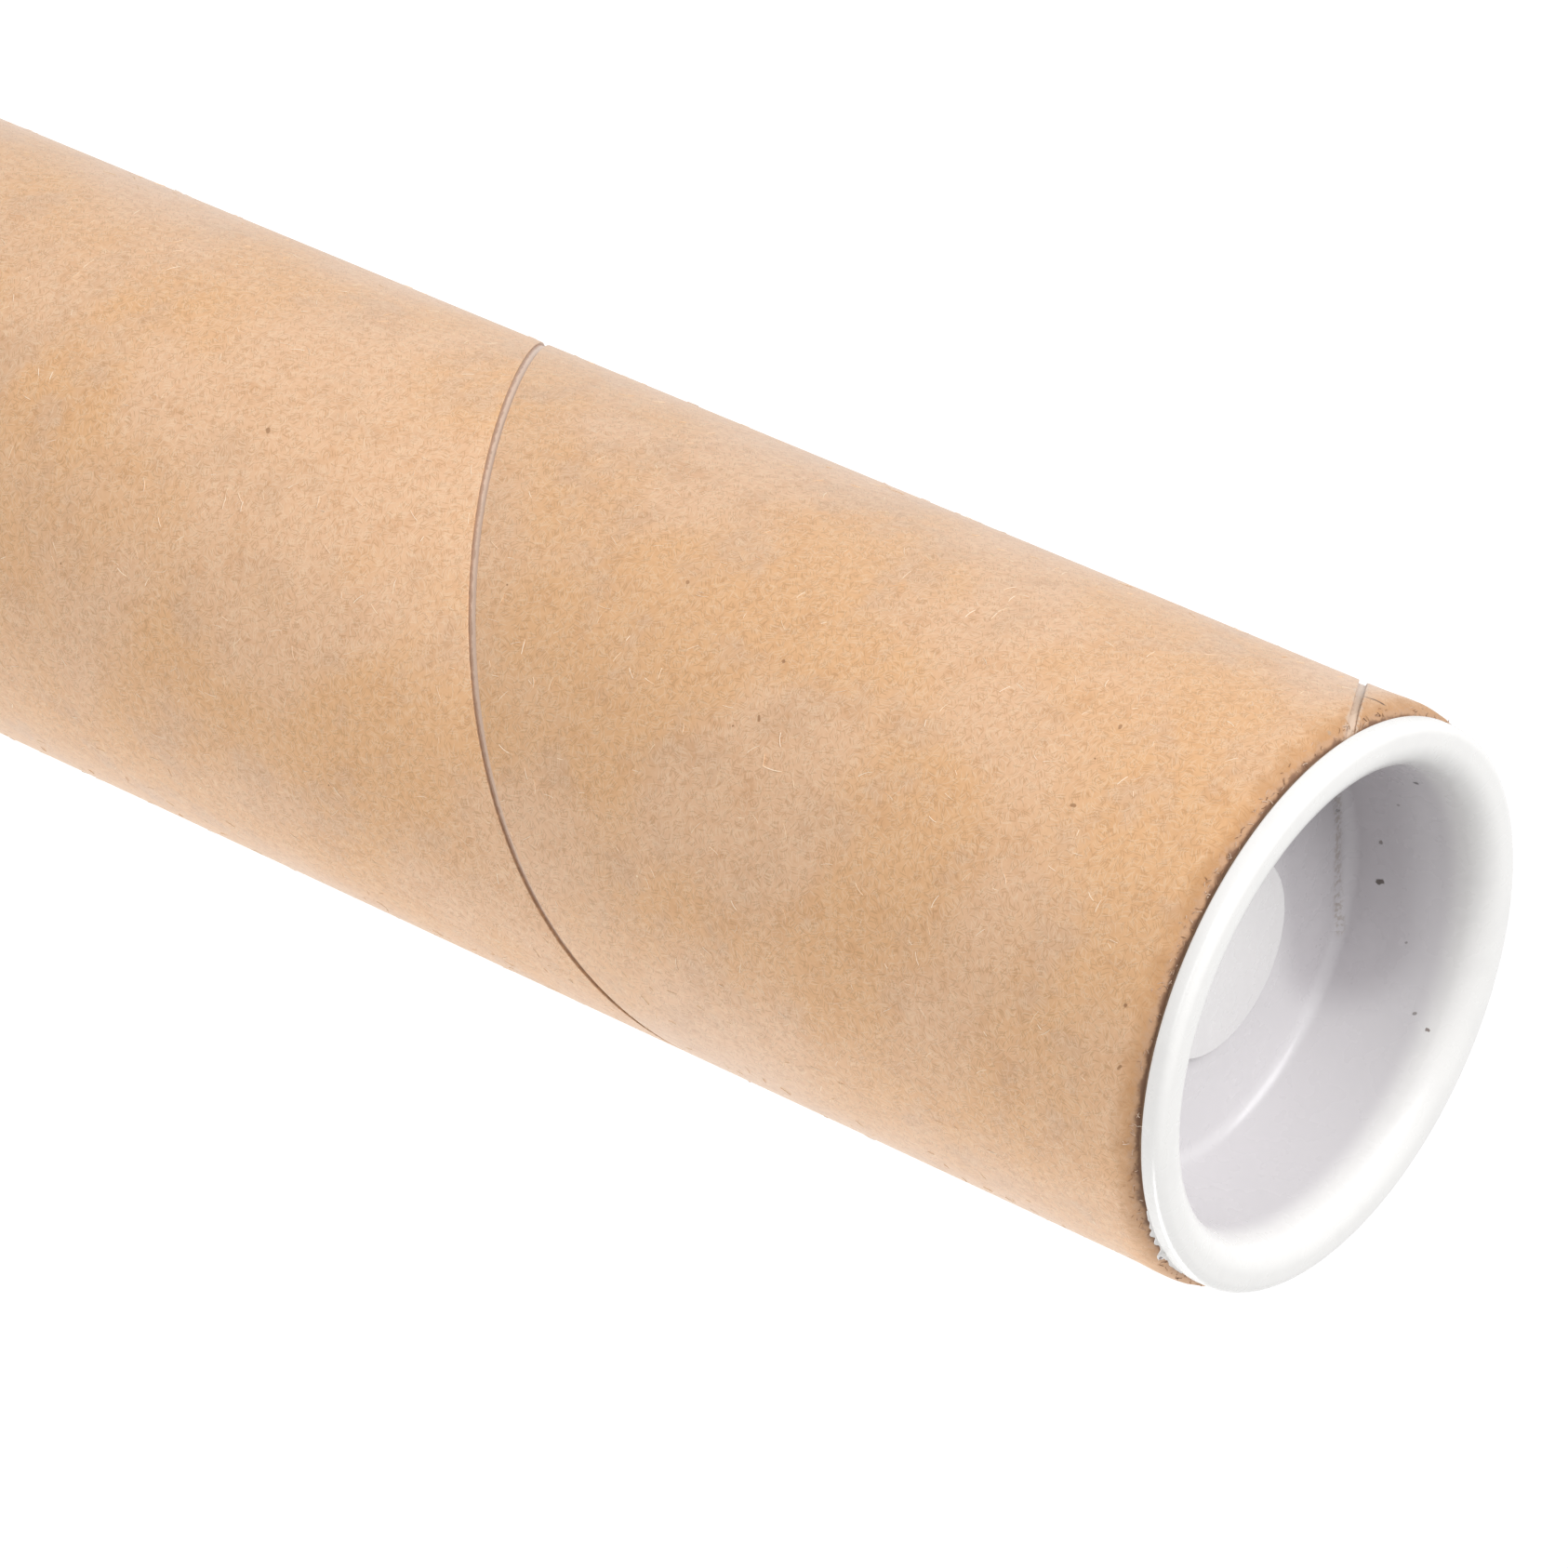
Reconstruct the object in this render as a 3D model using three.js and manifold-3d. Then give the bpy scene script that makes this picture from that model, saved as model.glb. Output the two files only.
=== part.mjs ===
// A mailing tube, standing on one end. Its wall is wound in a spiral from strips of brown board,
// and a moulded white plug with a flange and a deep cup closes each end.
import * as THREE from 'three';
import { mergeVertices } from 'three/addons/utils/BufferGeometryUtils.js';
import Module from 'manifold-3d';

// The tube, in millimetres
const boreDiameter = 50;
const wallThickness = 3;
const tubeLength = 300;
const outerEdgeRounding = 1.3;
const innerEdgeRounding = 0.5;

// The seam: the gap between the two edges of the outermost strip, which climbs round the tube as a
// right-handed helix and runs out at the top end at seamEndAngle, in degrees from +X towards +Y
const seamPitch = 93.4;
const seamWidth = 0.75;
const plyThickness = 0.4;
const seamEndAngle = 223;

// The fit of a plug in the tube
const skirtClearance = 0.1;
const seatGap = 0.3;

// The plug's flange
const flangeSetback = 0.6;
const flangeThickness = 2.2;
const flangeEdgeRounding = 1;
const lipRounding = 2.8;

// The plug's cup, below the flange
const cupMouthWall = 2.25;
const cupWall = 1.8;
const cupDraft = 8;
const cupDepth = 12.2;
const cupFloorRounding = 1.5;
const floorThickness = 1.4;
const undersideRounding = 1;
const discDiameter = 19.6;
const discHeight = 1;

// The grip rings round the cup, which push against the bore: sloped below and square above
const gripRings = 2;
const firstRingDepth = 2.6;
const ringPitch = 3.6;
const ringWidth = 0.8;
const ringLead = 1.2;

// Flat facets round each turned surface, along each rounding that shows and along a slight one
const turnFacets = 60;
const arcFacets = 4;
const slightArcFacets = 2;

// Sizes that follow from the ones above
const boreRadius = boreDiameter / 2;
const tubeRadius = boreRadius + wallThickness;
const skirtRadius = boreRadius - skirtClearance;
const cupMouthRadius = skirtRadius - cupMouthWall;
const draftAngle = THREE.MathUtils.degToRad(cupDraft);
const seamLeadAngle = Math.atan2(seamPitch, 2 * Math.PI * tubeRadius);
const tubeBottom = flangeThickness + seatGap;
const tubeTop = tubeBottom + tubeLength;

const paperMaterial = new THREE.MeshStandardMaterial({ color: 0xdcb28a, roughness: 0.9, metalness: 0 });
const plasticMaterial = new THREE.MeshStandardMaterial({ color: 0xf3f2f1, roughness: 0.35, metalness: 0 });

const wasm = await Module();
wasm.setup();

// A closed geometry as a solid that can be cut
function toSolid(geometry) {
  const bare = geometry.clone();
  bare.deleteAttribute('normal');
  bare.deleteAttribute('uv');
  const merged = mergeVertices(bare, 1e-4);
  return new wasm.Manifold(new wasm.Mesh({
    numProp: 3,
    vertProperties: new Float32Array(merged.attributes.position.array),
    triVerts: new Uint32Array(merged.index.array),
  }));
}

// A cut solid as a geometry
function toGeometry(solid) {
  const mesh = solid.getMesh();
  const geometry = new THREE.BufferGeometry();
  geometry.setAttribute('position', new THREE.BufferAttribute(mesh.vertProperties, 3));
  geometry.setIndex(new THREE.BufferAttribute(mesh.triVerts, 1));
  geometry.computeVertexNormals();
  return geometry;
}

// Points along an arc of a section, with angles in degrees from the outward direction towards +Z
function arc(centreRadius, centreHeight, radius, fromAngle, toAngle, facets = arcFacets) {
  return Array.from({ length: facets + 1 }, (_, i) => {
    const angle = THREE.MathUtils.degToRad(fromAngle + ((toAngle - fromAngle) * i) / facets);
    return new THREE.Vector2(centreRadius + radius * Math.cos(angle), centreHeight + radius * Math.sin(angle));
  });
}

// A section of radius and height, turned about the Z axis
function turned(section) {
  return new THREE.LatheGeometry(section, turnFacets).rotateX(Math.PI / 2);
}

// The tube's wall in section: up the outside and down the bore, with each cut edge pressed round
function tubeSection() {
  const outerCentre = tubeRadius - outerEdgeRounding;
  const innerCentre = boreRadius + innerEdgeRounding;
  const section = [
    ...arc(outerCentre, tubeBottom + outerEdgeRounding, outerEdgeRounding, -90, 0),
    ...arc(outerCentre, tubeTop - outerEdgeRounding, outerEdgeRounding, 0, 90),
    ...arc(innerCentre, tubeTop - innerEdgeRounding, innerEdgeRounding, 90, 180, slightArcFacets),
    ...arc(innerCentre, tubeBottom + innerEdgeRounding, innerEdgeRounding, 180, 270, slightArcFacets),
  ];
  return [...section, section[0].clone()];
}

// The seam's groove as a square bar, bent round the tube so that its length becomes an angle, its
// width a height and its depth a radius, with one step for each facet of the wall
function seamBar() {
  const facetAngle = 360 / turnFacets;
  const runOut = 2 * facetAngle;
  const steps = Math.ceil(((tubeLength / seamPitch) * 360 + 2 * runOut) / facetAngle);
  const lastAngle = Math.ceil((seamEndAngle + runOut) / facetAngle) * facetAngle;
  const sweptAngle = steps * facetAngle;
  const barHeight = seamWidth / Math.cos(seamLeadAngle);
  const barDepth = 2 * plyThickness;
  const bar = new THREE.BoxGeometry(sweptAngle, barHeight, barDepth, steps, 1, 1);
  const corners = bar.attributes.position;
  for (let i = 0; i < corners.count; i += 1) {
    const angle = lastAngle - sweptAngle / 2 + corners.getX(i);
    const height = tubeTop + ((angle - seamEndAngle) / 360) * seamPitch + corners.getY(i);
    const radius = tubeRadius + corners.getZ(i);
    const turn = THREE.MathUtils.degToRad(angle);
    corners.setXYZ(i, radius * Math.cos(turn), radius * Math.sin(turn), height);
  }
  return bar;
}

function makeTube() {
  const wall = toSolid(turned(tubeSection()));
  return new THREE.Mesh(toGeometry(wall.subtract(toSolid(seamBar()))), paperMaterial);
}

// Radius of the cup's drafted inside at a height, where the flange's seat is at height 0
function cupRadius(height) {
  return cupMouthRadius + (height - (flangeThickness - lipRounding)) * Math.tan(draftAngle);
}

// How far the centre of a rounding lies from the drafted wall that it runs into
function centreOffset(rounding) {
  return rounding / Math.cos(draftAngle);
}

// The grip rings in section, from the lowest up
function ringSection() {
  const points = [];
  for (let ring = gripRings - 1; ring >= 0; ring -= 1) {
    const foot = -(firstRingDepth + ring * ringPitch);
    const head = foot + ringWidth;
    points.push(
      new THREE.Vector2(cupRadius(foot - ringLead) + cupWall, foot - ringLead),
      new THREE.Vector2(skirtRadius, foot),
      new THREE.Vector2(skirtRadius, head),
      new THREE.Vector2(cupRadius(head) + cupWall, head),
    );
  }
  return points;
}

// A plug in section: from the middle of its underside, up the outside of the cup to the flange,
// over the flange and its lip, and down inside the cup to the raised disc in the middle of its floor
function plugSection() {
  const underside = -(cupDepth + floorThickness);
  const cornerHeight = underside + undersideRounding;
  const cornerRadius = cupRadius(cornerHeight) + cupWall - centreOffset(undersideRounding);
  const flangeRadius = tubeRadius - flangeSetback;
  const rimRadius = flangeRadius - flangeEdgeRounding;
  const lipHeight = flangeThickness - lipRounding;
  const lipRadius = cupRadius(lipHeight) + centreOffset(lipRounding);
  const filletHeight = -cupDepth + cupFloorRounding;
  const filletRadius = cupRadius(filletHeight) - centreOffset(cupFloorRounding);
  const discRadius = discDiameter / 2;
  return [
    new THREE.Vector2(0, underside),
    ...arc(cornerRadius, cornerHeight, undersideRounding, -90, -cupDraft, slightArcFacets),
    ...ringSection(),
    new THREE.Vector2(cupRadius(0) + cupWall, 0),
    new THREE.Vector2(flangeRadius, 0),
    ...arc(rimRadius, flangeThickness - flangeEdgeRounding, flangeEdgeRounding, 0, 90),
    ...arc(lipRadius, lipHeight, lipRounding, 90, 180 - cupDraft),
    ...arc(filletRadius, filletHeight, cupFloorRounding, -cupDraft, -90),
    new THREE.Vector2(discRadius, -cupDepth),
    new THREE.Vector2(discRadius, -cupDepth + discHeight),
    new THREE.Vector2(0, -cupDepth + discHeight),
  ];
}

function makePlug() {
  return new THREE.Mesh(turned(plugSection()), plasticMaterial);
}

const tube = makeTube();
tube.name = 'tube';

const topPlug = makePlug();
topPlug.name = 'top_plug';
topPlug.position.z = tubeTop + seatGap;

const bottomPlug = makePlug();
bottomPlug.name = 'bottom_plug';
bottomPlug.position.z = tubeBottom - seatGap;
bottomPlug.rotation.x = Math.PI;

const mailingTube = new THREE.Group();
mailingTube.add(tube, topPlug, bottomPlug);

export default mailingTube;
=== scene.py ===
"""A spiral-wound paper mailing tube, closed by white push-in plugs, standing on one end."""
import math
import random

import bmesh
import bpy
from mathutils import Matrix, Vector, noise


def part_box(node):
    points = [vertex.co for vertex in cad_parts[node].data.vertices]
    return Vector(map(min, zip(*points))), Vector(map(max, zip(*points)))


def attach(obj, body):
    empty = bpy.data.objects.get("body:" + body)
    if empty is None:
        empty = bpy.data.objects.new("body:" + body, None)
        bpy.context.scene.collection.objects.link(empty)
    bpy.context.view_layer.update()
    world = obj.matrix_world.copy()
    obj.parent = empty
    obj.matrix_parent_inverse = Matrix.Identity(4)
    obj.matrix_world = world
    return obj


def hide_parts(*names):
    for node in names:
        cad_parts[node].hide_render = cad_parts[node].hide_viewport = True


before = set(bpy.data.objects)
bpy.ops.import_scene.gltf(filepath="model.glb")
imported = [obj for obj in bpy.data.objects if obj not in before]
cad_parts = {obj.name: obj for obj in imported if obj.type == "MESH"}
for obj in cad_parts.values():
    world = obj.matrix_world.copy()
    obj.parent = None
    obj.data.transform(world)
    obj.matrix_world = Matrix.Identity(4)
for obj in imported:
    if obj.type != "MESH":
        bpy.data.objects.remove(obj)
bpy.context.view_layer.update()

# The camera.
# It looks down on the top plug from the photograph's distance, and is rolled so that the standing
# tube runs from the picture's upper left to its lower right.
photo_side = 1686
photo_focal_length = 9061
camera_elevation = math.radians(31.46)
camera_roll = math.radians(113.75)
sensor_side = 36
tube_low, tube_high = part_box("tube")
tube_radius = tube_high.x
seat_gap = 0.0003
top_seat = Vector((0, 0, tube_high.z + seat_gap))
bottom_seat = Vector((0, 0, tube_low.z - seat_gap))
seat_from_camera = Vector((1.723, -0.700, -26.948)) * tube_radius

camera = bpy.data.objects.new("camera", bpy.data.cameras.new("camera"))
camera.data.sensor_width = sensor_side
camera.data.lens = sensor_side * photo_focal_length / photo_side
camera.data.clip_start = 0.01
camera.data.clip_end = 20
camera_turn = Matrix.Rotation(math.pi / 2 - camera_elevation, 4, "X") @ Matrix.Rotation(camera_roll, 4, "Z")
camera.matrix_world = Matrix.Translation(top_seat - camera_turn @ seat_from_camera) @ camera_turn
bpy.context.scene.collection.objects.link(camera)
bpy.context.scene.camera = camera


# The tube's wall.
# Strips of brown paperboard are wound round a mandrel in a spiral and glued. The edges of the
# outermost strip do not quite meet, and the saw and the plug have crushed the edge of each end.
wall = 0.003
ply = 0.0004
seam_pitch = 0.096
seam_width = 0.00075
seam_end_angle = math.radians(214)
seam_lead = math.atan2(seam_pitch, 2 * math.pi * tube_radius)
seam_depth = 0.00032
ply_edge_rounding = 0.00012
end_rounding = 0.0013
end_slope = 0.0024
bore_edge_rounding = 0.0005
flare = 0.00014
flare_reach = 0.007
crush_depth = 0.00012
crush_reach = 0.0034
flare_skew = 0.6
dents_around = 900
dents_along = 700
dent_bias = -0.6
sharp_angle = math.radians(35)
wall_steps = 192
rounding_steps = 6
slight_steps = 3
merge_distance = 0.000002
bore_radius = tube_radius - wall


def lay_section(bm, points):
    """A chain of edges through (radius, height) points in the XZ plane."""
    corners = [bm.verts.new((radius, 0, height)) for radius, height in points]
    edges = [bm.edges.new(pair) for pair in zip(corners, corners[1:])]
    return corners + edges


def arc(radius, height, rounding, first, last, steps):
    """Points of a section along an arc round (radius, height), by angles in degrees from outwards to up."""
    angles = [math.radians(first + (last - first) * i / steps) for i in range(steps + 1)]
    return [(radius + rounding * math.cos(a), height + rounding * math.sin(a)) for a in angles]


def spin_round(bm, geometry, steps):
    """Turns a section right round the tube's axis."""
    bmesh.ops.spin(
        bm, geom=geometry, cent=(0, 0, 0), axis=(0, 0, 1), angle=2 * math.pi, steps=steps, use_merge=True,
    )


def outer_ply(bm):
    """The outermost strip, swept up the helix from below the tube's foot to above its top."""
    half_gap = seam_width / math.cos(seam_lead) / 2
    floor = tube_radius - seam_depth
    shoulder = (tube_radius - ply_edge_rounding, half_gap + ply_edge_rounding)
    lower = [(floor, 0), (floor, half_gap)] + arc(*shoulder, ply_edge_rounding, -90, 0, slight_steps)
    upper = [(radius, seam_pitch - height) for radius, height in reversed(lower)]
    turns = (tube_high.z - tube_low.z) / seam_pitch + 1
    steps = math.ceil(turns * wall_steps) + 2
    step_angle = 2 * math.pi / wall_steps
    step_rise = seam_pitch / wall_steps
    strip = lay_section(bm, lower + upper)
    first_angle = seam_end_angle - (steps - 1) * step_angle
    first_height = tube_high.z - (steps - 1) * step_rise
    bmesh.ops.rotate(bm, verts=bm.verts, cent=(0, 0, 0), matrix=Matrix.Rotation(first_angle, 3, "Z"))
    bmesh.ops.translate(bm, verts=bm.verts, vec=(0, 0, first_height))
    bmesh.ops.spin(
        bm, geom=strip, cent=(0, 0, 0), axis=(0, 0, 1), dvec=(0, 0, step_rise),
        angle=steps * step_angle, steps=steps,
    )
    bmesh.ops.remove_doubles(bm, verts=bm.verts, dist=merge_distance)


def cut_ends(bm):
    """Cuts the swept strip to length, and adds the rings of points that round its cut edges."""
    slope = [end_slope - rise for _, rise in arc(0, 0, end_slope, 0, 90, rounding_steps)[:-1]]
    rings = slope + [crush_reach, (crush_reach + flare_reach) / 2, flare_reach, flare_reach * 1.2]
    for end, outwards in ((tube_high.z, 1), (tube_low.z, -1)):
        for depth in [0] + rings:
            everything = bm.verts[:] + bm.edges[:] + bm.faces[:]
            bmesh.ops.bisect_plane(
                bm, geom=everything, plane_co=(0, 0, end - outwards * depth), plane_no=(0, 0, outwards),
                clear_outer=depth == 0, dist=1e-7,
            )


def rounded_by(depth):
    """How far the outside has rounded inwards at a depth below the tube's end."""
    share = min(max(1 - depth / end_slope, 0), 1)
    return end_rounding * (1 - math.sqrt(1 - share ** 2))


def press_edges(bm):
    """Flares each end a little, rounds its cut edge over and crushes it unevenly."""
    for corner in bm.verts:
        depth = min(tube_high.z - corner.co.z, corner.co.z - tube_low.z)
        if depth > flare_reach - 1e-6:
            continue
        outwards = Vector((corner.co.x, corner.co.y, 0)).normalized()
        widened = flare * math.sin(math.pi * max(depth / flare_reach, 0) ** flare_skew) ** 2
        spot = outwards * tube_radius * dents_around + Vector((0, 0, corner.co.z * dents_along))
        dents = noise.noise(spot) + noise.noise(spot * 3) + dent_bias
        crush = crush_depth * max(1 - depth / crush_reach, 0) * dents
        corner.co += outwards * (widened + crush - rounded_by(depth))


def bore_skin(bm):
    """The bore and the rounded inner edge of each end, ready to be bridged to the outer ply."""
    centre = bore_radius + bore_edge_rounding
    top = arc(centre, tube_high.z - bore_edge_rounding, bore_edge_rounding, 90, 180, slight_steps)
    foot = arc(centre, tube_low.z + bore_edge_rounding, bore_edge_rounding, 180, 270, slight_steps)
    spin_round(bm, lay_section(bm, top + foot), wall_steps)


def close_ends(bm):
    """Joins the bore's rim to the outside's at each end."""
    for end in (tube_high.z, tube_low.z):
        rims = [e for e in bm.edges if e.is_boundary and all(abs(v.co.z - end) < 1e-5 for v in e.verts)]
        bmesh.ops.bridge_loops(bm, edges=rims)


def finish_mesh(name, bm):
    """The finished piece, smooth but for its edges over the sharp angle."""
    bmesh.ops.recalc_face_normals(bm, faces=bm.faces)
    for face in bm.faces:
        face.smooth = True
    for edge in bm.edges:
        edge.smooth = edge.is_manifold and edge.calc_face_angle() < sharp_angle
    mesh = bpy.data.meshes.new(name)
    bm.to_mesh(mesh)
    bm.free()
    piece = bpy.data.objects.new(name, mesh)
    bpy.context.scene.collection.objects.link(piece)
    return piece


tube_mesh = bmesh.new()
outer_ply(tube_mesh)
cut_ends(tube_mesh)
press_edges(tube_mesh)
bore_skin(tube_mesh)
close_ends(tube_mesh)
wound_tube = finish_mesh("wound_tube", tube_mesh)


class Channel:
    """A value that changes over a surface, so that shader maths can be written as an expression."""

    def __init__(self, finish, socket):
        self.finish = finish
        self.socket = socket

    def math(self, operation, *values):
        return self.finish.node("ShaderNodeMath", {"operation": operation}, values)

    def __add__(self, other):
        return self.math("ADD", self, other)

    def __radd__(self, other):
        return self.math("ADD", other, self)

    def __sub__(self, other):
        return self.math("SUBTRACT", self, other)

    def __rsub__(self, other):
        return self.math("SUBTRACT", other, self)

    def __mul__(self, other):
        return self.math("MULTIPLY", self, other)

    def __rmul__(self, other):
        return self.math("MULTIPLY", other, self)

    def __truediv__(self, other):
        return self.math("DIVIDE", self, other)

    def __mod__(self, other):
        return self.math("FLOORED_MODULO", self, other)

    def __pow__(self, other):
        return self.math("POWER", self, other)

    def __abs__(self):
        return self.math("ABSOLUTE", self)

    def least(self, other):
        return self.math("MINIMUM", self, other)

    def most(self, other):
        return self.math("MAXIMUM", self, other)

    def rise(self, low, high):
        """0 up to low and 1 from high, with a smooth step between; with high below low it falls instead."""
        values = {"Value": self, "From Min": low, "From Max": high}
        return self.finish.node("ShaderNodeMapRange", {"interpolation_type": "SMOOTHSTEP"}, values)

    def other(self, output):
        """Another output of the same node."""
        return Channel(self.finish, self.socket.node.outputs[output])


class Finish:
    """A material or a world under construction."""

    def __init__(self, owner):
        self.owner = owner
        owner.use_nodes = True
        self.tree = owner.node_tree
        self.surface = self.tree.nodes.get("Principled BSDF") or self.tree.nodes.get("Background")
        self.place = self.node("ShaderNodeTexCoord", {}, {}, "Object")
        self.x = self.node("ShaderNodeSeparateXYZ", {}, [self.place])
        self.y = self.x.other("Y")
        self.z = self.x.other("Z")

    def node(self, kind, settings, values, output=0):
        """Any node: its settings, then the values or links of its sockets, by name or in order."""
        made = self.tree.nodes.new(kind)
        for name, value in settings.items():
            setattr(made, name, value)
        for name, value in values.items() if isinstance(values, dict) else enumerate(values):
            self.feed(made.inputs[name], value)
        return Channel(self, made.outputs[output])

    def feed(self, socket, value):
        if isinstance(value, Channel):
            self.tree.links.new(value.socket, socket)
        else:
            socket.default_value = value

    def show(self, **values):
        """Sets sockets of the surface, with _ for each space in a name."""
        for name, value in values.items():
            self.feed(self.surface.inputs[name.replace("_", " ")], value)

    def vector(self, operation, *values):
        return self.node("ShaderNodeVectorMath", {"operation": operation}, values)

    def point(self, x, y, z=0.0):
        return self.node("ShaderNodeCombineXYZ", {}, [x, y, z])

    def in_mm(self):
        """The place on the piece in millimetres."""
        values = {"Vector": self.place, "Scale": 1000.0}
        return self.node("ShaderNodeVectorMath", {"operation": "SCALE"}, values)

    def radius(self):
        """The distance from the tube's axis."""
        return (self.x * self.x + self.y * self.y) ** 0.5

    def mottle(self, where, scale, detail=2.0, roughness=0.5):
        """Soft blots, as a value about 0.5, with scale blots to a unit of where."""
        values = {"Vector": where, "Scale": scale, "Detail": detail, "Roughness": roughness}
        return self.node("ShaderNodeTexNoise", {}, values)

    def grains(self, where, radius, share, flat=False):
        """Separate dots, one at most in each cell of size 1, in the given share of the cells."""
        settings = {"voronoi_dimensions": "2D" if flat else "3D"}
        distance = self.node("ShaderNodeTexVoronoi", settings, {"Vector": where, "Scale": 1.0})
        chosen = self.node("ShaderNodeSeparateXYZ", {}, [distance.other("Color")])
        return distance.rise(radius, radius * 0.6) * chosen.rise(1 - share, 1 - share * 0.9)

    def mark(self, start, end, radius, ragged):
        """1 within radius of the line from start to end, with a ragged edge."""
        reach = Vector(end) - Vector(start)
        offset = self.vector("SUBTRACT", self.place, tuple(start))
        scale = max(reach.length_squared, 1e-12)
        share = self.vector("DOT_PRODUCT", offset, tuple(reach / scale)).other("Value")
        values = {"Vector": tuple(reach), "Scale": self.node("ShaderNodeClamp", {}, [share])}
        nearest = self.node("ShaderNodeVectorMath", {"operation": "SCALE"}, values)
        distance = self.vector("DISTANCE", offset, nearest).other("Value")
        return (distance + (ragged - 0.5) * radius * 2).rise(radius * 1.25, radius * 0.65)

    def paint(self, under, over, mask):
        """The colour under, with the colour over laid on it where mask is 1."""
        mixed = self.tree.nodes.new("ShaderNodeMix")
        mixed.data_type = "RGBA"
        colours = [socket for socket in mixed.inputs if socket.type == "RGBA"]
        self.feed(mixed.inputs[0], mask)
        for socket, colour in zip(colours, (under, over)):
            self.feed(socket, colour if isinstance(colour, Channel) else (*colour, 1))
        return Channel(self, next(socket for socket in mixed.outputs if socket.type == "RGBA"))

    def bumps(self, height, distance):
        return self.node("ShaderNodeBump", {}, {"Height": height, "Distance": distance})


def tone(red, green, blue):
    """A colour as a screen shows it, from 0 to 255, as the light that a surface sends back."""
    def linear(value):
        share = value / 255
        return share / 12.92 if share <= 0.04045 else ((share + 0.055) / 1.055) ** 2.4
    return linear(red), linear(green), linear(blue)


def on_wall(angle, height):
    """A point of the outside, by its angle in degrees and its height in mm from the top plug's seat."""
    turn = math.radians(angle)
    return Vector((tube_radius * math.cos(turn), tube_radius * math.sin(turn), top_seat.z + height / 1000))


def cloudy_paper(made, mm, grain):
    """The paper's ground colour, in clouds of a few shades and a fine grain."""
    colour = tone(*paper_yellow)
    for shade, scale, detail, roughness, low, high, strength in paper_clouds:
        blots = made.mottle(mm, scale, detail, roughness)
        colour = made.paint(colour, tone(*shade), blots.rise(low, high) * strength)
    for shade, low, high, strength in paper_grain:
        colour = made.paint(colour, tone(*shade), grain.rise(low, high) * strength)
    return colour


def pressed_fibres(made, mm, directions):
    """1 on fibres pressed flat, each layer with its direction, length, width and share of places."""
    around = made.x.math("ARCTAN2", made.x, made.y * -1) * tube_radius * 1000
    along = made.z * 1000
    sway = (made.mottle(mm, 0.4, 1.0) - 0.5) * fibre_sway
    fibres = None
    for turn, length, width, share in directions:
        towards = Vector((math.cos(math.radians(turn)), math.sin(math.radians(turn))))
        lengthways = (around * towards.x + along * towards.y) / length
        sideways = ((along + sway) * towards.x - (around + sway) * towards.y) / width
        layer = made.grains(made.point(lengthways, sideways), fibre_fullness, share, flat=True)
        fibres = layer if fibres is None else fibres.most(layer)
    return fibres


def specked(made, mm, colour):
    """The colour with its brown specks, small grey crumbs and pale flecks."""
    for shade, scale, shift, radius, share, strength in paper_dots:
        where = made.vector("MULTIPLY_ADD", mm, (scale, scale, scale), shift)
        colour = made.paint(colour, tone(*shade), made.grains(where, radius, share) * strength)
    return colour


def rubbed_and_shaded_end(made, mm, grain, depth, rubbed_and_shaded, colour):
    """The colour towards the crushed end, where depth is in mm from it: worn darker with painted shade on
    the rounding, frayed grey, and painted shadow where the edge is pressed in.
    """
    # A band worn darker, and painted darker still as shade where the rounded end turns from the light.
    colour = made.paint(colour, tone(*rubbed_and_shaded_brown), rubbed_and_shaded.rise(*rubbed_and_shaded_reach) * 0.8)
    fuzzy = (depth + (grain - 0.5) * fuzz_spread).rise(*fuzz_reach)
    colour = made.paint(colour, tone(*fuzz_grey), fuzzy * 0.45)
    uneven = (grain - 0.5) * 0.5 + (made.mottle(mm, 0.6, 2.0) - 0.5) * 0.9
    pressed_in = tube_radius * 1000 - made.radius() * 1000
    shadowed = (pressed_in + uneven).rise(*shadow_reach) * depth.rise(end_slope * 1100, end_slope * 900)
    return made.paint(colour, tone(*edge_shadow_brown), shadowed)


def seamed(made, grain, depth, colour):
    """The grey board that shows between the outer strip's edges, with painted shade on the strip's cut
    edges and along the seam's lower side, frayed near the end.
    """
    turns = made.y.math("ARCTAN2", made.y, made.x) / (2 * math.pi)
    climb = (made.z - tube_high.z) / seam_pitch - turns + seam_end_angle / (2 * math.pi)
    above_seam = ((climb + 0.5) % 1.0 - 0.5) * seam_pitch * math.cos(seam_lead)
    from_seam = abs(above_seam)
    radius = made.radius()
    floor = tube_radius - seam_depth
    seam = (from_seam + (grain - 0.5) * seam_fuzz).rise(*(seam_width / 2 + past for past in seam_edges))
    shaded = (above_seam + (grain - 0.5) * seam_shade_fuzz).rise(-seam_width * 0.1, -seam_width * 0.35)
    # Painted shade on the outer strip's cut edges, the walls of the seam.
    shaded_edges = seam * radius.rise(*(tube_radius - inset for inset in ply_edge_shade_insets))
    colour = made.paint(colour, tone(*ply_edge_shade_brown), shaded_edges)
    bare = seam * radius.rise(*(floor + height for height in bare_heights))
    colour = made.paint(colour, tone(*board_grey), bare)
    colour = made.paint(colour, tone(*seam_shade), bare * shaded * 0.7)
    frayed = (from_seam + (grain - 0.5) * fray_width).rise(seam_width * 0.9, seam_width * 0.3)
    frayed = frayed * (depth + (grain - 0.5) * 2).rise(*fray_reach)
    return made.paint(colour, tone(*frayed_grey), frayed * 0.8)


def glued_plies(made, grain):
    """The cut board: brown plies with a darker line of glue between them."""
    plies = ((made.radius() - bore_radius) / ply) % 1.0
    board = made.paint(tone(*board_brown), tone(*glue_brown), abs(plies - 0.5).rise(0.38, 0.48) * 0.6)
    return made.paint(board, tone(*frayed_grey), grain.rise(0.45, 0.7) * 0.5)


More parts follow.
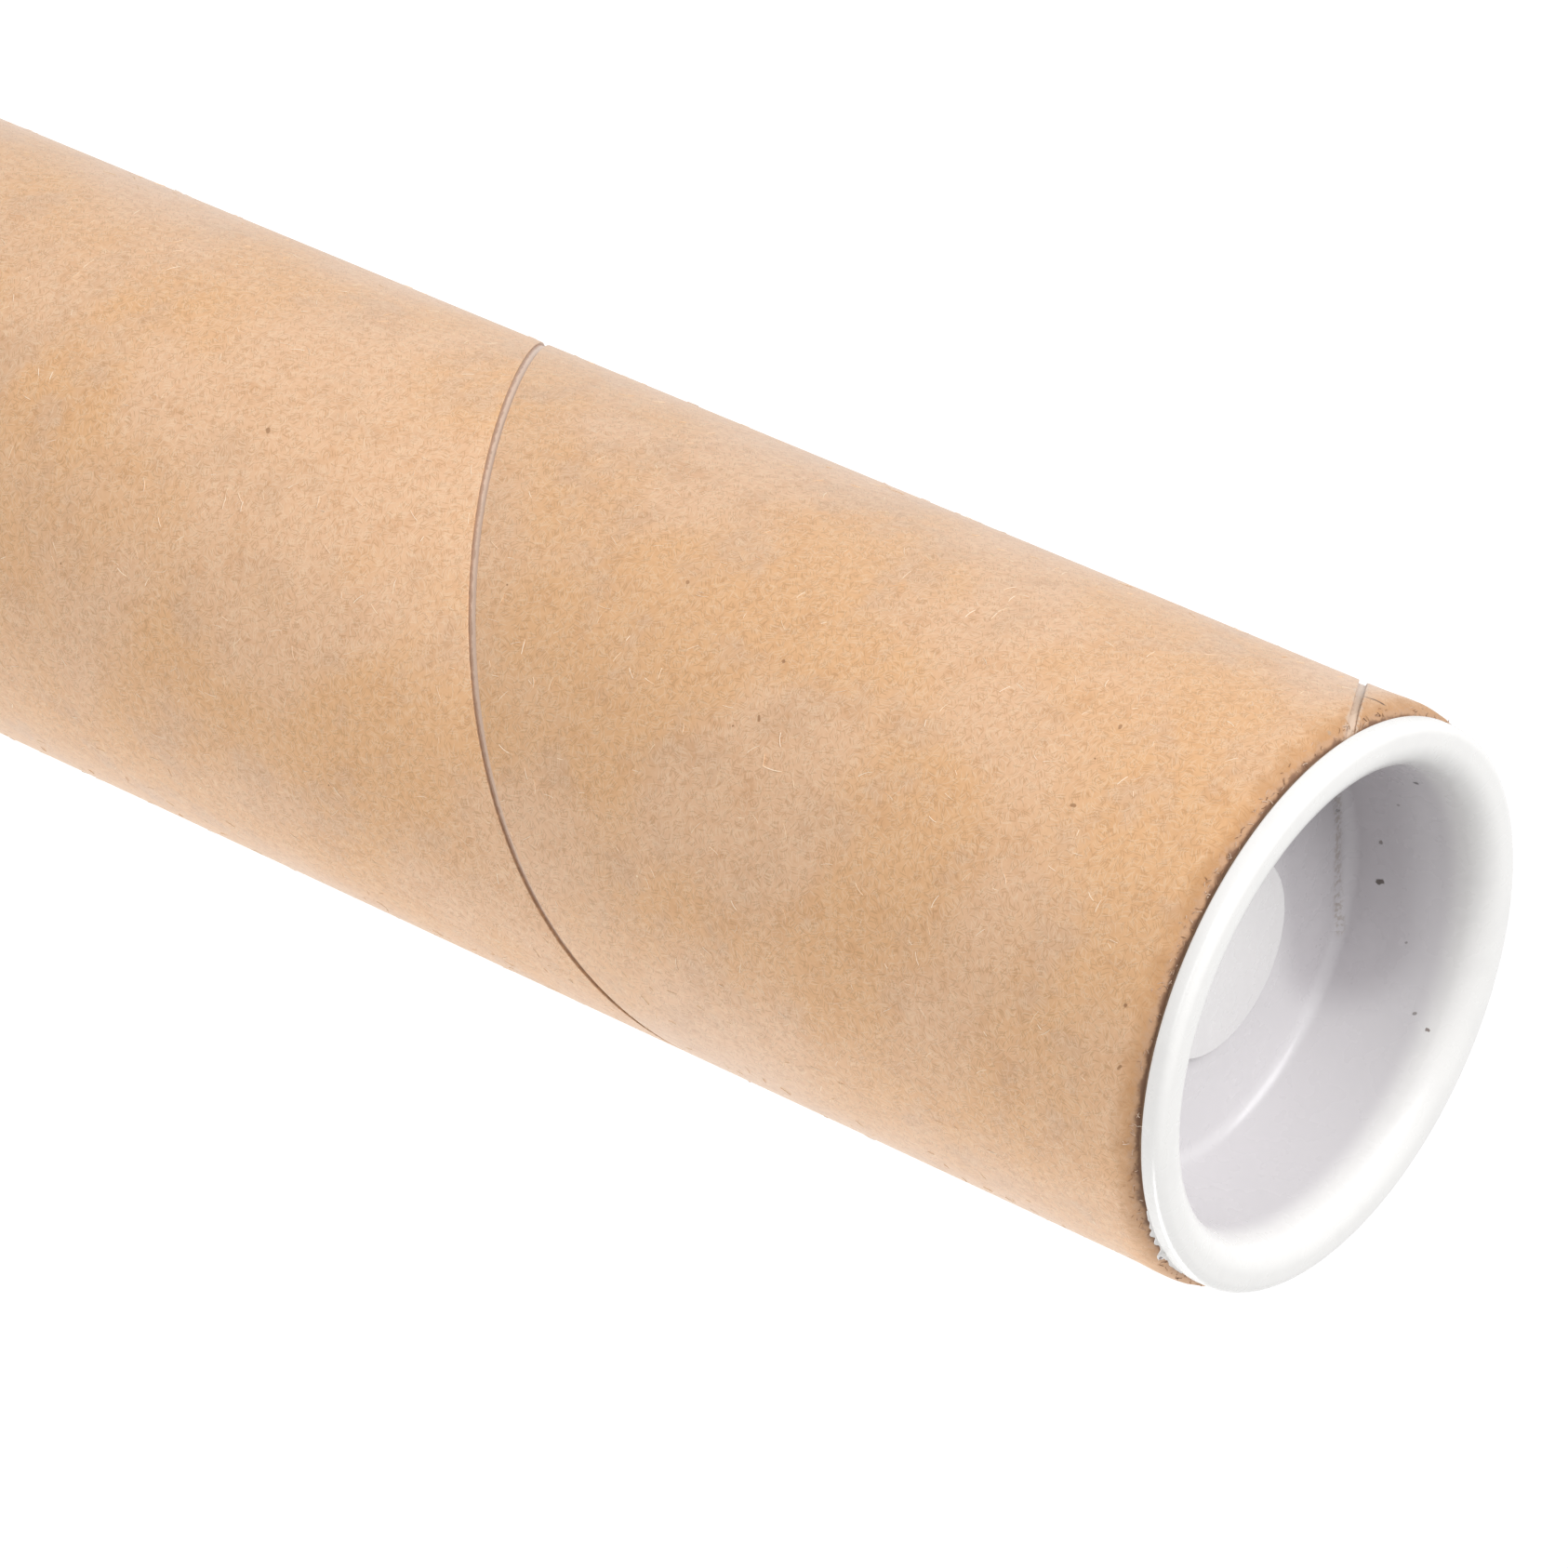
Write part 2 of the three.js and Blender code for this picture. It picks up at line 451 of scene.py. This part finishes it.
def brown_paper():
    """Unbleached brown paper over grey board: mottled, specked and full of short fibres."""
    made = Finish(bpy.data.materials.new("brown_paper"))
    mm = made.in_mm()
    grain = made.mottle(mm, grain_scale, 3.0, 0.6)
    along = made.z * 1000
    depth = (tube_high.z * 1000 - along).least(along - tube_low.z * 1000)
    # An uneven depth from the end, which sets the rougher band and the band of wear and painted shade.
    rubbed_and_shaded = depth + (made.mottle(mm, 0.35, 3.0, 0.6) - 0.5) * rubbed_and_shaded_spread
    pale = pressed_fibres(made, mm, pale_directions)
    dark = pressed_fibres(made, mm, dark_directions)

    colour = cloudy_paper(made, mm, grain)
    colour = made.paint(colour, tone(*fibre_dark), dark * dark_fibre_strength)
    colour = made.paint(colour, tone(*fibre_pale), pale * pale_fibre_strength)
    colour = specked(made, mm, colour)
    colour = rubbed_and_shaded_end(made, mm, grain, depth, rubbed_and_shaded, colour)
    for start, end, size, shade, strength in wall_marks:
        spot = made.mark(on_wall(*start), on_wall(*end), size / 1000, grain)
        colour = made.paint(colour, tone(*shade), spot * strength)
    colour = seamed(made, grain, depth, colour)
    cut = made.radius().rise(*(tube_radius - inset for inset in cut_insets))
    colour = made.paint(colour, glued_plies(made, grain), cut)

    roughness = rubbed_and_shaded.rise(*roughened_reach) * (rubbed_roughness - paper_roughness) + paper_roughness
    relief = grain * 0.6 + pale * 0.3 + dark * -0.2 + made.mottle(mm, 6.0, 2.0) * 0.25
    made.show(Base_Color=colour, Roughness=roughness, IOR=1.45, Sheen_Weight=0.15)
    made.show(Normal=made.bumps(relief, paper_relief))
    return made.owner


paper_roughness = 0.36
rubbed_roughness = 0.7
paper_relief = 0.000022
grain_scale = 1.5
paper_yellow = (230, 181, 133)
paper_pink = (232, 189, 151)
paper_grey = (221, 180, 144)
paper_dark = (208, 154, 106)
paper_light = (244, 203, 160)
fibre_pale = (250, 226, 194)
fibre_dark = (176, 128, 82)
speck_brown = (146, 100, 58)
speck_grey = (162, 128, 94)
rubbed_and_shaded_brown = (188, 139, 92)
edge_shadow_brown = (134, 100, 76)
frayed_grey = (216, 192, 170)
fuzz_grey = (196, 162, 136)
ply_edge_shade_brown = (170, 134, 106)
board_grey = (230, 202, 181)
seam_shade = (176, 140, 116)
board_brown = (186, 154, 124)
glue_brown = (122, 94, 70)
dark_fibre_strength = 0.38
pale_fibre_strength = 0.27
fibre_sway = 1.6
fibre_fullness = 0.42

# How far from the tube's end, in mm, each change sets in and is full, and how unevenly it does
roughened_reach = (5.0, 1.5)
rubbed_and_shaded_reach = (3.0, 0.3)
rubbed_and_shaded_spread = 2.8
fuzz_reach = (1.0, 0.4)
fuzz_spread = 1.8
fray_reach = (9.0, 5.5)
fray_width = 0.0016

# How far the outside is rounded in, in mm, where its shadow sets in and is full
shadow_reach = (0.56, 0.95)

# How far below the outside the cut plies at the end, and the painted shade on the strip's edge in the seam,
# begin to show and show in full
cut_insets = (0.001, 0.0013)
ply_edge_shade_insets = (0.00002, 0.00007)

# How far past the seam's sides its colours begin and are full, how far above its floor the board
# does, and how ragged the seam and its shade are
seam_edges = (0.00006, -0.00002)
bare_heights = (0.00005, 0.00002)
seam_fuzz = 0.00012
seam_shade_fuzz = 0.0006

# Each cloud's colour, blots to a mm, detail, roughness, value where it sets in and is full, and strength
paper_clouds = (
    (paper_pink, 0.05, 2.0, 0.5, 0.4, 0.6, 1.0),
    (paper_grey, 0.14, 3.0, 0.6, 0.5, 0.7, 0.85),
    (paper_dark, 0.3, 3.0, 0.6, 0.5, 0.72, 0.3),
)

# Each colour of the grain, the value where it sets in and is full, and its strength
paper_grain = (
    (paper_dark, 0.48, 0.74, 0.36),
    (paper_light, 0.48, 0.26, 0.26),
)

# Each kind of dot: its colour, cells to a mm, shift, radius in cells, share of cells and strength
paper_dots = (
    (speck_brown, 0.2, (0, 0, 0), 0.025, 0.5, 0.85),
    (speck_grey, 0.45, (0, 0, 0), 0.05, 0.14, 0.5),
    (fibre_pale, 0.16, (7.3, 2.1, 4.4), 0.026, 0.5, 0.8),
)

# Each layer of pressed fibres: its direction in degrees, length and width in mm and share of places
pale_directions = (
    (15, 1.5, 0.14, 0.22),
    (62, 1.2, 0.13, 0.2),
    (109, 1.6, 0.14, 0.22),
    (151, 1.1, 0.12, 0.2),
)
dark_directions = (
    (40, 1.1, 0.13, 0.24),
    (100, 1.3, 0.14, 0.24),
    (160, 1.2, 0.13, 0.24),
)

# Each mark's start and end by angle and height, its radius in mm, its colour and its strength
wall_marks = (
    ((-75.3, -3.41), (-75.3, -3.41), 0.2, (146, 100, 62), 0.85),
    ((-63.6, -2.65), (-64.2, -2.5), 0.18, (150, 106, 66), 0.8),
    ((-109.7, -112.57), (-109.2, -112.4), 0.22, (160, 116, 76), 0.8),
    ((-104.4, -16.46), (-104.6, -16.2), 0.18, (158, 114, 74), 0.8),
    ((-122.8, -17.2), (-122.2, -17.1), 0.14, (164, 120, 80), 0.8),
    ((-96.4, -49.3), (-95.8, -49.1), 0.16, (158, 114, 74), 0.8),
    ((-108.0, -50.0), (-107.8, -49.9), 0.16, (158, 110, 68), 0.8),
    ((-115.0, -63.6), (-114.8, -63.5), 0.15, (170, 122, 80), 0.8),
    ((-142.1, -1.2), (-141.4, -0.9), 0.3, (176, 158, 140), 0.6),
    ((-161.2, -1.5), (-159.8, -3.4), 0.16, (104, 74, 54), 0.95),
    ((-159.8, -3.4), (-160.6, -4.6), 0.1, (120, 88, 64), 0.8),
)
wound_tube.data.materials.append(brown_paper())
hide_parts("tube")
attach(wound_tube, "tube")


# Loose fibres of the paper.
# Wood fibres that were never pressed flat lie curled on the outer ply, and shorter brown and grey
# ones stand in the crushed edges, where the board was sawn and the plugs were pushed in.
strand_steps = 4
strand_shapes = 16
loose_fibres = 3000
loose_lengths = (0.0005, 0.0016)
loose_thicknesses = (0.00005, 0.00008)
loose_bends = (0.0012, 0.006)
loose_lifts = (-0.00001, 0.00004)
loose_tilts = (-0.05, 0.05)
bare_end = 0.002
edge_fibres = 420
edge_lengths = (0.0003, 0.0008)
edge_thicknesses = (0.00006, 0.00009)
edge_bends = (0.0003, 0.0012)
edge_tilts = (-0.9, 0.9)
edge_spread = 0.00045
edge_least_depth = 0.0001
edge_lift = 0.00005
hooked_thickness = 0.0001
hooked_bend = 0.006
hooked_lift = 0.00003
hooked_place = (-88.2, -46.66)
hooked_arms = ((0.0012, -163, 0.0006), (0.0021, 96, 0.00105))
strand_dice = random.Random(7)


def strand_shape(length, thickness, bend):
    """A curved strand on the XY plane, along X about the origin, with a three-sided section."""
    bm = bmesh.new()
    bmesh.ops.create_circle(bm, cap_ends=True, segments=3, radius=thickness / 2)
    bmesh.ops.rotate(bm, verts=bm.verts, cent=(0, 0, 0), matrix=Matrix.Rotation(math.pi / 2, 3, "Y"))
    start = Matrix.Rotation(-length / bend / 2, 3, "Z")
    bmesh.ops.rotate(bm, verts=bm.verts, cent=(0, bend, 0), matrix=start)
    bmesh.ops.spin(
        bm, geom=bm.verts[:] + bm.edges[:] + bm.faces[:], cent=(0, bend, 0), axis=(0, 0, 1),
        angle=length / bend, steps=strand_steps,
    )
    bmesh.ops.recalc_face_normals(bm, faces=bm.faces)
    shape = bpy.data.meshes.new("strand")
    bm.to_mesh(shape)
    bm.free()
    return shape


def lie_on_wall(point, direction, lift, tilt=0.0):
    """The place of a strand on the tube, where direction turns it from around the tube to along it."""
    turn = math.atan2(point.y, point.x)
    outwards = Matrix(((0, 0, 1), (1, 0, 0), (0, 1, 0))).to_4x4()
    standing = Matrix.Translation((tube_radius + lift, 0, point.z)) @ outwards
    lying = Matrix.Rotation(math.radians(direction), 4, "Z") @ Matrix.Rotation(tilt, 4, "Y")
    return Matrix.Rotation(turn, 4, "Z") @ standing @ lying


def scatter(name, strands, finish):
    """One piece of many strands, each a shape and its place."""
    bm = bmesh.new()
    for shape, place in strands:
        strand = shape.copy()
        strand.transform(place)
        bm.from_mesh(strand)
        bpy.data.meshes.remove(strand)
    piece = finish_mesh(name, bm)
    piece.data.materials.append(finish)
    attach(piece, "tube")


def fibre_finish(name, first, second):
    """Matt fibres that vary between two colours."""
    made = Finish(bpy.data.materials.new(name))
    blots = made.mottle(made.in_mm(), 0.6, 1.0)
    made.show(Base_Color=made.paint(tone(*first), tone(*second), blots.rise(0.4, 0.6)))
    made.show(Roughness=0.6, IOR=1.45)
    return made.owner


def in_the_seam(point):
    """Whether a point of the wall lies over the seam or just beside it."""
    turn = math.atan2(point.y, point.x)
    above = point.z - tube_high.z - seam_pitch * (turn - seam_end_angle) / (2 * math.pi)
    from_middle = abs((above + seam_pitch / 2) % seam_pitch - seam_pitch / 2)
    return from_middle < seam_width


def different_strands(*spans):
    """Some strands to choose from, with length, thickness and bend each drawn from its span."""
    return [strand_shape(*(strand_dice.uniform(*span) for span in spans)) for _ in range(strand_shapes)]


shapes = different_strands(loose_lengths, loose_thicknesses, loose_bends)
strands = []
while len(strands) < loose_fibres:
    height = strand_dice.uniform(tube_low.z + bare_end, tube_high.z - bare_end)
    where = on_wall(strand_dice.uniform(-180, 180), (height - top_seat.z) * 1000)
    lift = strand_dice.uniform(*loose_lifts)
    place = lie_on_wall(where, strand_dice.uniform(0, 360), lift, strand_dice.uniform(*loose_tilts))
    if not in_the_seam(where):
        strands.append((strand_dice.choice(shapes), place))
for length, direction, slide in hooked_arms:
    shape = strand_shape(length, hooked_thickness, hooked_bend)
    shape.transform(Matrix.Translation((slide, 0, 0)))
    strands.append((shape, lie_on_wall(on_wall(*hooked_place), direction, hooked_lift)))
scatter("pale_fibres", strands, fibre_finish("pale_fibre", (244, 216, 182), (252, 234, 210)))

edge_shapes = different_strands(edge_lengths, edge_thicknesses, edge_bends)
for name, shades in (
    ("brown_edge_fibres", ((140, 104, 76), (178, 138, 102))),
    ("grey_edge_fibres", ((200, 172, 148), (226, 202, 180))),
):
    strands = []
    for _ in range(edge_fibres):
        at_the_top = strand_dice.random() < 0.5
        depth = abs(strand_dice.gauss(0, edge_spread)) + edge_least_depth
        height = tube_high.z - depth if at_the_top else tube_low.z + depth
        where = on_wall(strand_dice.uniform(-180, 180), (height - top_seat.z) * 1000)
        tilt = strand_dice.uniform(*edge_tilts)
        place = lie_on_wall(where, strand_dice.uniform(0, 360), edge_lift - rounded_by(depth), tilt)
        strands.append((strand_dice.choice(edge_shapes), place))
    scatter(name, strands, fibre_finish(name, *shades))


# The plugs.
# Each is moulded in one piece from soft white polyethylene: a flange that covers the tube's cut
# edge, a rounded lip, a tapered cup with grip rings, and a thicker disc in the middle of its floor.
flange_radius = tube_radius - 0.0006
flange_thickness = 0.0022
flange_edge_rounding = 0.001
flange_foot_rounding = 0.00025
lip_rounding = 0.0028
skirt_radius = bore_radius - 0.0001
cup_mouth_radius = skirt_radius - 0.00225
cup_wall = 0.0018
cup_draft = 8
cup_depth = 0.0122
cup_floor_rounding = 0.0015
floor_thickness = 0.0014
underside_rounding = 0.001
disc_radius = 0.0098
disc_height = 0.001
disc_edge_rounding = 0.0002
grip_ring_depths = (0.0062, 0.0026)
grip_ring_width = 0.0008
grip_ring_lead = 0.0012
plug_steps = 256
rim_steps = 8
lip_steps = 14
fillet_steps = 8
underside_steps = 6


def cup_radius(height):
    """The cup's inside radius at a height from the flange's seat."""
    return cup_mouth_radius + (height - flange_thickness + lip_rounding) * math.tan(math.radians(cup_draft))


def plug_section():
    """From the middle of the underside, up the outside, over the flange and down to the disc."""
    lean = 1 / math.cos(math.radians(cup_draft))
    underside = -cup_depth - floor_thickness
    corner = underside + underside_rounding
    corner_centre = cup_radius(corner) + cup_wall - underside_rounding * lean
    points = [(0, underside)]
    points += arc(corner_centre, corner, underside_rounding, -90, -cup_draft, underside_steps)
    for depth in grip_ring_depths:
        points.append((cup_radius(-depth - grip_ring_lead) + cup_wall, -depth - grip_ring_lead))
        points += [(skirt_radius, -depth), (skirt_radius, -depth + grip_ring_width)]
        points.append((cup_radius(-depth + grip_ring_width) + cup_wall, -depth + grip_ring_width))
    points.append((cup_radius(0) + cup_wall, 0))
    foot = flange_foot_rounding
    points += arc(flange_radius - foot, foot, foot, -90, 0, slight_steps)
    rim = flange_thickness - flange_edge_rounding
    points += arc(flange_radius - flange_edge_rounding, rim, flange_edge_rounding, 0, 90, rim_steps)
    lip = flange_thickness - lip_rounding
    points += arc(cup_radius(lip) + lip_rounding * lean, lip, lip_rounding, 90, 180 - cup_draft, lip_steps)
    fillet = -cup_depth + cup_floor_rounding
    fillet_centre = cup_radius(fillet) - cup_floor_rounding * lean
    points += arc(fillet_centre, fillet, cup_floor_rounding, -cup_draft, -90, fillet_steps)
    points.append((disc_radius, -cup_depth))
    step = -cup_depth + disc_height - disc_edge_rounding
    points += arc(disc_radius - disc_edge_rounding, step, disc_edge_rounding, 0, 90, slight_steps)
    points.append((0, -cup_depth + disc_height))
    return points


def make_plug(name, seat, turn):
    """A plug turned about the X axis and set on its seat."""
    bm = bmesh.new()
    spin_round(bm, lay_section(bm, plug_section()), plug_steps)
    bmesh.ops.remove_doubles(bm, verts=bm.verts, dist=merge_distance)
    bmesh.ops.rotate(bm, verts=bm.verts, cent=(0, 0, 0), matrix=Matrix.Rotation(turn, 3, "X"))
    bmesh.ops.translate(bm, verts=bm.verts, vec=seat)
    return finish_mesh(name, bm)


def in_cup(angle, height, radius=None):
    """A point of the top plug's cup, by its angle in degrees and its height in mm from the seat."""
    away = cup_radius(height / 1000) if radius is None else radius / 1000
    turn = math.radians(angle)
    return Vector((away * math.cos(turn), away * math.sin(turn), top_seat.z + height / 1000))


def white_plastic():
    """White polyethylene: creamy where it is thick, greyer in the thin cup, with painted shade in its
    floor's corner on one side.
    """
    made = Finish(bpy.data.materials.new("white_plastic"))
    mm = made.in_mm()
    shaded_edges = (made.z - tube_low.z).least(tube_high.z - made.z)
    thin = shaded_edges.rise(*thinning_depths)
    disc = made.radius().rise(disc_radius + 0.00005, disc_radius - 0.00005)
    blots = made.mottle(mm, 0.35, 3.0)
    dots = made.mottle(mm, 2.4, 2.0)
    cup = made.paint(tone(*thin_grey), tone(*disc_white), disc)
    colour = made.paint(tone(*thick_white), cup, thin)
    # Painted shade in the corner of the cup's floor, on the side that the main lamp does not reach.
    corner = made.mark(in_cup(*shaded_corner[0]), in_cup(*shaded_corner[1]), corner_shade_reach, 0.5)
    colour = made.paint(colour, tone(*corner_shade_grey), corner * (1 - disc) * corner_shade_strength)
    colour = made.paint(colour, tone(*shade_grey), blots.rise(0.45, 0.75) * 0.1)
    for start, end, size, shade, strength in cup_marks:
        spot = made.mark(in_cup(*start), in_cup(*end), size / 1000, dots)
        colour = made.paint(colour, tone(*shade), spot * strength)
    smudge = None
    for start, end in zip(smudge_line, smudge_line[1:]):
        stretch = made.mark(in_cup(*start), in_cup(*end), smudge_reach, dots)
        smudge = stretch if smudge is None else smudge.most(stretch)
    colour = made.paint(colour, tone(*smudge_brown), smudge * dots.rise(0.42, 0.66) * smudge_strength)
    roughness = blots.rise(0.3, 0.7) * (dull_roughness - clean_roughness) + clean_roughness
    made.show(Base_Color=colour, Roughness=roughness, IOR=1.5)
    return made.owner


thick_white = (249, 248, 246)
disc_white = (236, 234, 234)
thin_grey = (218, 215, 217)
thinning_depths = (-0.0004, 0.0024)
clean_roughness = 0.24
dull_roughness = 0.32
corner_shade_grey = (168, 162, 167)
corner_shade_strength = 0.48
shaded_corner = ((112, -11.5, 20), (166, -11.5, 20))
corner_shade_reach = 0.0078
shade_grey = (214, 212, 214)
smudge_brown = (142, 124, 104)
smudge_reach = 0.0007
smudge_strength = 0.5

# Each mark's start and end by angle, height and any radius, its radius in mm, its colour and its strength
cup_marks = (
    ((125.4, -8.6), (124.8, -9.0), 0.26, (88, 78, 72), 0.95),
    ((94.2, -0.6), (94.2, -0.8), 0.18, (120, 100, 92), 0.8),
    ((147.3, -11.9, 19.7), (146.6, -11.9, 19.9), 0.28, (92, 84, 76), 0.85),
    ((165.6, -3.18), (165.2, -3.3), 0.24, (84, 78, 80), 0.85),
    ((136.9, -8.84), (136.6, -8.9), 0.2, (96, 84, 76), 0.7),
    ((96.6, -2.37), (96.4, -2.5), 0.14, (120, 110, 104), 0.7),
    ((152.0, -6.4), (151.8, -6.5), 0.14, (110, 100, 96), 0.6),
    ((112.0, -5.2), (111.8, -5.3), 0.1, (120, 110, 106), 0.6),
)
smudge_line = (
    (154.4, -12.0, 20.2), (146.0, -12.1, 19.8), (138.7, -12.1, 19.4), (124.0, -12.1, 19.6), (108.9, -11.9),
)
plug_plastic = white_plastic()
for plug_name, node, seat, turn in (
    ("visible_plug", "top_plug", top_seat, 0),
    ("hidden_plug", "bottom_plug", bottom_seat, math.pi),
):
    plug = make_plug(plug_name, seat, turn)
    plug.data.materials.append(plug_plastic)
    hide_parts(node)
    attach(plug, node)


# The burr.
# The mould left a ragged flash along the foot of the top plug's flange, and one curl of it sticks
# out, with a grey spot of painted shade on it.
flash_start = math.radians(-33)
flash_end = math.radians(-9)
flash_steps = 60
flash_thickness = 0.00009
flash_reach = 0.0005
flash_ripples = 1800
flash_droop = 0.6
curl_angle = -18.5
curl_radius = 0.0004
curl_overhang = 0.0003
curl_dents = 2500
curl_flatness = 0.7
curl_shade_radius = 0.0002
burr_white = (248, 246, 244)
curl_shade_grey = (140, 126, 128)

burr_mesh = bmesh.new()
root = flange_radius - 0.0002
flash_edge = lay_section(burr_mesh, [(root, 0.0003), (flange_radius + 0.0001, 0.0002)])
start_turn = Matrix.Rotation(flash_start, 3, "Z")
bmesh.ops.rotate(burr_mesh, verts=burr_mesh.verts, cent=(0, 0, 0), matrix=start_turn)
bmesh.ops.spin(
    burr_mesh, geom=flash_edge, cent=(0, 0, 0), axis=(0, 0, 1),
    angle=flash_end - flash_start, steps=flash_steps,
)
for corner in burr_mesh.verts:
    away = math.hypot(corner.co.x, corner.co.y)
    if away > flange_radius:
        from_middle = abs(math.atan2(corner.co.y, corner.co.x) - (flash_start + flash_end) / 2)
        fading = 1 - from_middle * 2 / (flash_end - flash_start)
        ragged = max(noise.noise(corner.co * flash_ripples) + 0.45, 0) * flash_reach * fading
        corner.co.xy *= 1 + ragged / away
        corner.co.z -= ragged * flash_droop
bmesh.ops.recalc_face_normals(burr_mesh, faces=burr_mesh.faces)
bmesh.ops.solidify(burr_mesh, geom=burr_mesh.faces[:], thickness=flash_thickness)
curl = bmesh.ops.create_icosphere(burr_mesh, subdivisions=3, radius=curl_radius)["verts"]
curl_turn = math.radians(curl_angle)
curl_place = Vector((math.cos(curl_turn), math.sin(curl_turn), 0)) * (flange_radius + curl_overhang)
for corner in curl:
    corner.co *= 1 + 0.5 * noise.noise(corner.co * curl_dents)
    corner.co.z *= curl_flatness
bmesh.ops.translate(burr_mesh, verts=curl, vec=curl_place)
bmesh.ops.translate(burr_mesh, verts=burr_mesh.verts, vec=top_seat)
burr = finish_mesh("burr", burr_mesh)

burr_finish = Finish(bpy.data.materials.new("burr_plastic"))
# A grey spot of painted shade on the curl.
curl_shade_place = top_seat + curl_place * 1.012 + Vector((0, 0, 0.0002))
curl_shade_dots = burr_finish.mottle(burr_finish.in_mm(), 3.0)
curl_shade = burr_finish.mark(curl_shade_place, curl_shade_place, curl_shade_radius, curl_shade_dots)
burr_colour = burr_finish.paint(tone(*burr_white), tone(*curl_shade_grey), curl_shade)
burr_finish.show(Base_Color=burr_colour, Roughness=0.4)
burr.data.materials.append(burr_finish.owner)
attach(burr, "top_plug")


# The studio.
# A pale floor without an edge, one broad soft lamp above on the plug's side, two long lamps so low
# that they light the wall and not the cup, and white light from all round.
floor_side = 6
sky_level = 0.47
floor_grey = 0.4
floor_glow = 0.74
lamp_distance = 1.2


def shown_or_mirrored(made):
    """1 where the camera looks straight at the surface, or sees it in gloss or through glass."""
    rays = made.node("ShaderNodeLightPath", {}, {}, "Is Camera Ray")
    return rays.most(rays.other("Is Glossy Ray")).most(rays.other("Is Transmission Ray"))


floor_mesh = bmesh.new()
bmesh.ops.create_grid(floor_mesh, x_segments=1, y_segments=1, size=floor_side / 2)
floor = finish_mesh("floor", floor_mesh)
floor_finish = Finish(bpy.data.materials.new("pale_floor"))
floor_finish.show(Base_Color=(floor_grey, floor_grey, floor_grey, 1), Roughness=0.9)
floor_glow_colour = floor_finish.paint((0, 0, 0), (1, 1, 1), shown_or_mirrored(floor_finish))
floor_finish.show(Emission_Color=floor_glow_colour, Emission_Strength=floor_glow)
floor.data.materials.append(floor_finish.owner)

white_room = Finish(bpy.data.worlds.new("white_room"))
room_colour = white_room.paint([sky_level] * 3, (1, 1, 1), shown_or_mirrored(white_room))
white_room.show(Color=room_colour, Strength=1)
bpy.context.scene.world = white_room.owner


def add_lamp(name, azimuth, elevation, width, height, level):
    """A soft lamp aimed at the tube's top, which lights a white surface that faces it to the level."""
    turn, tilt = math.radians(azimuth), math.radians(elevation)
    towards = Vector((math.cos(turn) * math.cos(tilt), math.sin(turn) * math.cos(tilt), math.sin(tilt)))
    lamp = bpy.data.objects.new(name, bpy.data.lights.new(name, "AREA"))
    lamp.data.shape = "RECTANGLE"
    lamp.data.size = width
    lamp.data.size_y = height
    lamp.data.energy = level * (math.pi * lamp_distance) ** 2
    lamp.location = Vector((0, 0, tube_high.z)) + towards * lamp_distance
    lamp.rotation_mode = "QUATERNION"
    lamp.rotation_quaternion = towards.to_track_quat("Z", "Y")
    bpy.context.scene.collection.objects.link(lamp)


add_lamp("plug_side_lamp", -150, 44, 0.8, 0.8, 0.77)
add_lamp("front_lamp", -88, -8, 1.2, 0.26, 0.28)
add_lamp("low_lamp", 22, -8, 1.2, 0.26, 0.62)

bpy.context.scene.view_settings.view_transform = "Standard"
